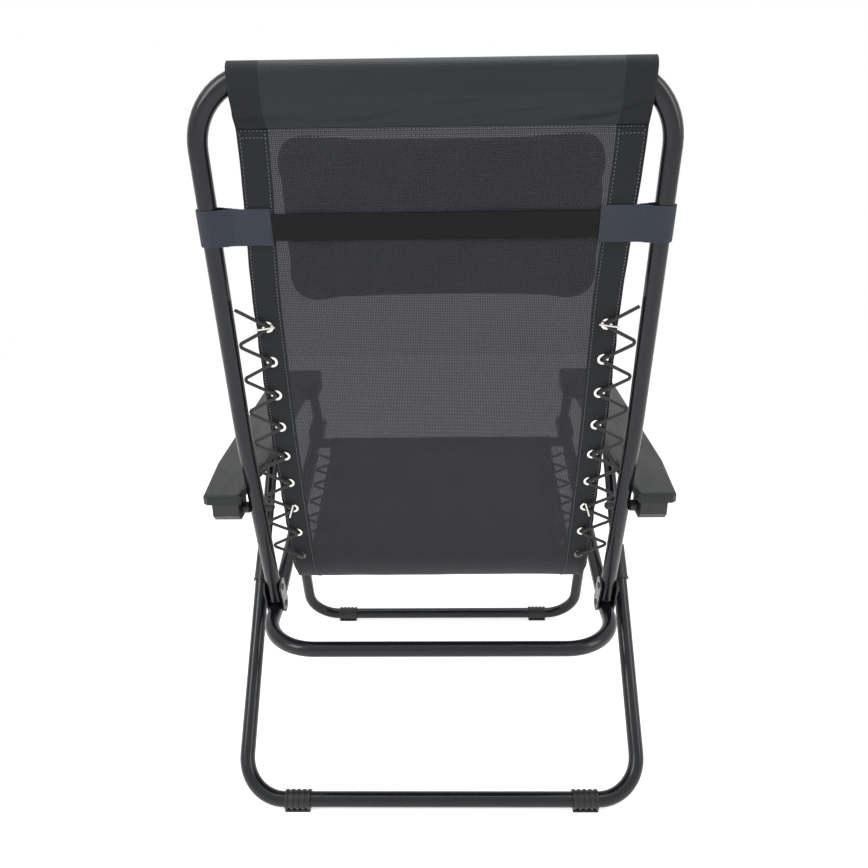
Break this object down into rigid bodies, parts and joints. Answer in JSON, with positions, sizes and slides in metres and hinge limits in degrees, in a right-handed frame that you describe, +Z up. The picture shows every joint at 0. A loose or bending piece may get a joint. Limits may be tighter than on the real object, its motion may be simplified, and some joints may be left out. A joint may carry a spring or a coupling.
{
  "type": "folding camp rocking chair",
  "caption": "High-backed folding camp chair with flat armrests, a laced mesh sling, a headrest and a seat that rocks on links inside its crossed U legs.",
  "frame": {"origin": "on the floor under the middle of the chair's outline", "axes": "+X to the sitter's left, -Y is the front that the sitter faces, +Z up"},
  "size_m": [0.668, 0.7225, 0.9926],
  "materials": {
    "tube_paint": "gloss",
    "arm_plastic": "satin",
    "black_plastic": "satin",
    "black_steel": "satin",
    "rivet_steel": "satin",
    "nickel": "polished",
    "mesh_fabric": "woven",
    "pillow_fabric": "woven",
    "black_elastic": "woven",
    "tab_fabric": "woven",
    "cord_sheath": "braided"
  },
  "bodies": {
    "armrests": {"armrest_left": "arm_plastic", "armrest_right": "arm_plastic", "arm_bearing_left": "black_plastic", "arm_bearing_right": "black_plastic", "leg_bracket_left": "black_steel", "leg_bracket_right": "black_steel", "arm_pivot_bolt_left": "rivet_steel", "arm_pivot_bolt_right": "rivet_steel", "arm_pivot_spacer_left": "black_plastic", "arm_pivot_spacer_right": "black_plastic", "arm_pivot_cap_left": "black_plastic", "arm_pivot_cap_right": "black_plastic", "leg_pivot_rivets": "rivet_steel", "link_top_pins": "rivet_steel"},
    "back": {"back_frame": "tube_paint", "back_tube_plug_left": "black_plastic", "back_tube_plug_right": "black_plastic", "back_sling": "mesh_fabric", "pillow": "pillow_fabric", "pillow_strap": "black_elastic", "strap_tab_left": "tab_fabric", "strap_tab_right": "tab_fabric", "back_cord_left": "cord_sheath", "back_cord_right": "cord_sheath", "back_loop_cord_left": "cord_sheath", "back_loop_cord_right": "cord_sheath", "back_eyelets_left": "nickel", "back_eyelets_right": "nickel", "toggle_pins": "nickel"},
    "seat": {"seat_frame": "tube_paint", "seat_front_bar": "tube_paint", "hinge_bracket_left": "black_steel", "hinge_bracket_right": "black_steel", "link_bracket_left": "black_steel", "link_bracket_right": "black_steel", "hinge_rivets": "rivet_steel", "link_low_rivets": "rivet_steel", "seat_sling": "mesh_fabric", "seat_cord_left": "cord_sheath", "seat_cord_right": "cord_sheath", "seat_loop_cord_left": "cord_sheath", "seat_loop_cord_right": "cord_sheath", "seat_eyelets_left": "nickel", "seat_eyelets_right": "nickel"},
    "links": {"front_link_left": "tube_paint", "front_link_right": "tube_paint"},
    "front_legs": {"front_leg_frame": "tube_paint", "front_foot_left": "black_plastic", "front_foot_right": "black_plastic"},
    "rear_legs": {"rear_leg_frame": "tube_paint", "rear_upper_tube_left": "tube_paint", "rear_upper_tube_right": "tube_paint", "rear_collar_left": "black_plastic", "rear_collar_right": "black_plastic", "rear_foot_left": "black_plastic", "rear_foot_right": "black_plastic"}
  },
  "joints": [
    {"name": "back_rock", "type": "hinge", "parent": "armrests", "child": "back", "pos_m": [0, 0.18146, 0.447], "axis": [-1, 0, 0], "range_deg": [-6, 14]},
    {"name": "seat_pivot", "type": "hinge", "parent": "back", "child": "seat", "pos_m": [0, 0.12061, 0.296], "axis": [-1, 0, 0], "range_deg": [-12.7, 5.5]},
    {"name": "front_link", "type": "hinge", "parent": "armrests", "child": "links", "pos_m": [0, -0.282, 0.545], "axis": [-1, 0, 0], "range_deg": [-9.4, 21.7]},
    {"name": "front_legs_fold", "type": "hinge", "parent": "armrests", "child": "front_legs", "pos_m": [0, -0.14, 0.495], "axis": [1, 0, 0], "range_deg": [0, 79]},
    {"name": "rear_legs_fold", "type": "hinge", "parent": "armrests", "child": "rear_legs", "pos_m": [0, -0.085, 0.488], "axis": [1, 0, 0], "range_deg": [0, 28.2]}
  ],
  "couplings": [
    {"joint": "seat_pivot", "follows": "back_rock", "ratio": -0.896},
    {"joint": "front_link", "follows": "back_rock", "ratio": 1.535},
    {"joint": "rear_legs_fold", "follows": "front_legs_fold", "ratio": 0.354}
  ]
}
